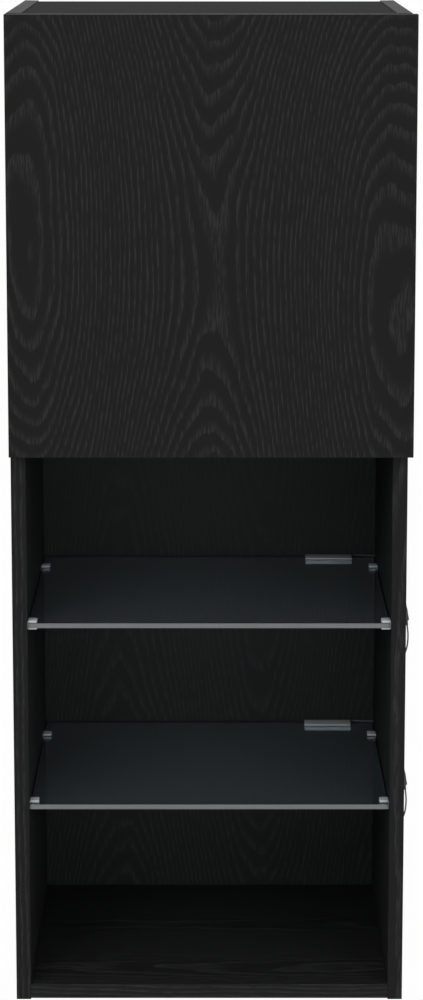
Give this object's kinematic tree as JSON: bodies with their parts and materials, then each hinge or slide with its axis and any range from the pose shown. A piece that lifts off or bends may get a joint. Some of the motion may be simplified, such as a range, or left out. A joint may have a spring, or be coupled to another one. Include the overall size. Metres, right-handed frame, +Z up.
{
  "type": "hanging wall cabinet",
  "caption": "Tall narrow black oak-look wall cabinet with a slab door above, and an open part below with lit glass shelves.",
  "frame": {"origin": "on the wall plane, midway between the two wall screw holes", "axes": "+X to the viewer's right, +Y into the wall, +Z up; the door faces -Y"},
  "size_m": [0.4245, 0.3, 1.02],
  "materials": {
    "black_oak_board": "black melamine with pressed oak grain",
    "black_oak_door": "black melamine with pressed oak grain",
    "black_oak_back": "black printed oak grain",
    "clear_glass": "clear toughened glass with ground edges",
    "clear_plastic": "translucent moulded plastic",
    "brushed_clip_steel": "satin steel",
    "led_board": "white solder mask",
    "lamp_lens": "frosted lens",
    "grommet_rubber": "matt",
    "lead_sheath": "satin grey sheath",
    "connector_plastic": "dark grey moulded plastic",
    "beech_dowel": "fluted beech",
    "bumper_rubber": "clear soft dot",
    "zinc_casting": "die-cast zinc",
    "zinc_bracket": "zinc-plated steel",
    "zinc_screw": "zinc-plated steel",
    "nickel_hinge": "nickel-plated steel"
  },
  "bodies": {
    "carcass": {"back_panel": "black_oak_back", "back_panel_nails": "zinc_screw", "bottom_panel": "black_oak_board", "bracket_screws": "zinc_screw", "cam_bolts": "zinc_screw", "cam_locks": "zinc_casting", "divider_panel": "black_oak_board", "hinge_arm_pins": "nickel_hinge", "hinge_arm_screws": "zinc_screw", "hinge_plate_screws": "zinc_screw", "left_side_panel": "black_oak_board", "lower_connector_plug": "connector_plastic", "lower_connector_socket": "connector_plastic", "lower_glass_shelf": "clear_glass", "lower_hinge_arm": "nickel_hinge", "lower_hinge_plate": "nickel_hinge", "lower_lamp_board": "led_board", "lower_lamp_clip": "brushed_clip_steel", "lower_lamp_lead": "lead_sheath", "lower_lamp_lens": "lamp_lens", "lower_lead_coil": "lead_sheath", "lower_lead_grommet": "grommet_rubber", "lower_shelf_supports": "clear_plastic", "lower_supply_lead": "lead_sheath", "lower_supply_plug": "connector_plastic", "right_side_panel": "black_oak_board", "top_panel": "black_oak_board", "upper_connector_plug": "connector_plastic", "upper_connector_socket": "connector_plastic", "upper_glass_shelf": "clear_glass", "upper_hinge_arm": "nickel_hinge", "upper_hinge_plate": "nickel_hinge", "upper_lamp_board": "led_board", "upper_lamp_clip": "brushed_clip_steel", "upper_lamp_lead": "lead_sheath", "upper_lamp_lens": "lamp_lens", "upper_lead_coil": "lead_sheath", "upper_lead_grommet": "grommet_rubber", "upper_shelf_supports": "clear_plastic", "upper_supply_lead": "lead_sheath", "upper_supply_plug": "connector_plastic", "wall_brackets": "zinc_bracket", "wood_dowels": "beech_dowel"},
    "hinge_links": {"lower_hinge_link": "nickel_hinge", "upper_hinge_link": "nickel_hinge"},
    "door": {"door_panel": "black_oak_door", "door_bumpers": "bumper_rubber", "lower_hinge_cup": "nickel_hinge", "upper_hinge_cup": "nickel_hinge", "hinge_cup_pins": "nickel_hinge", "hinge_cup_screws": "zinc_screw"}
  },
  "joints": [
    {"name": "link_swing", "type": "hinge", "parent": "carcass", "child": "hinge_links", "pos_m": [-0.173, -0.278, 0], "axis": [0, 0, 1], "range_deg": [0, 23.75]},
    {"name": "door_swing", "type": "hinge", "parent": "hinge_links", "child": "door", "pos_m": [-0.1936, -0.29, 0], "axis": [0, 0, -1], "range_deg": [0, 118.75]}
  ],
  "couplings": [
    {"joint": "link_swing", "follows": "door_swing", "ratio": 0.2}
  ]
}
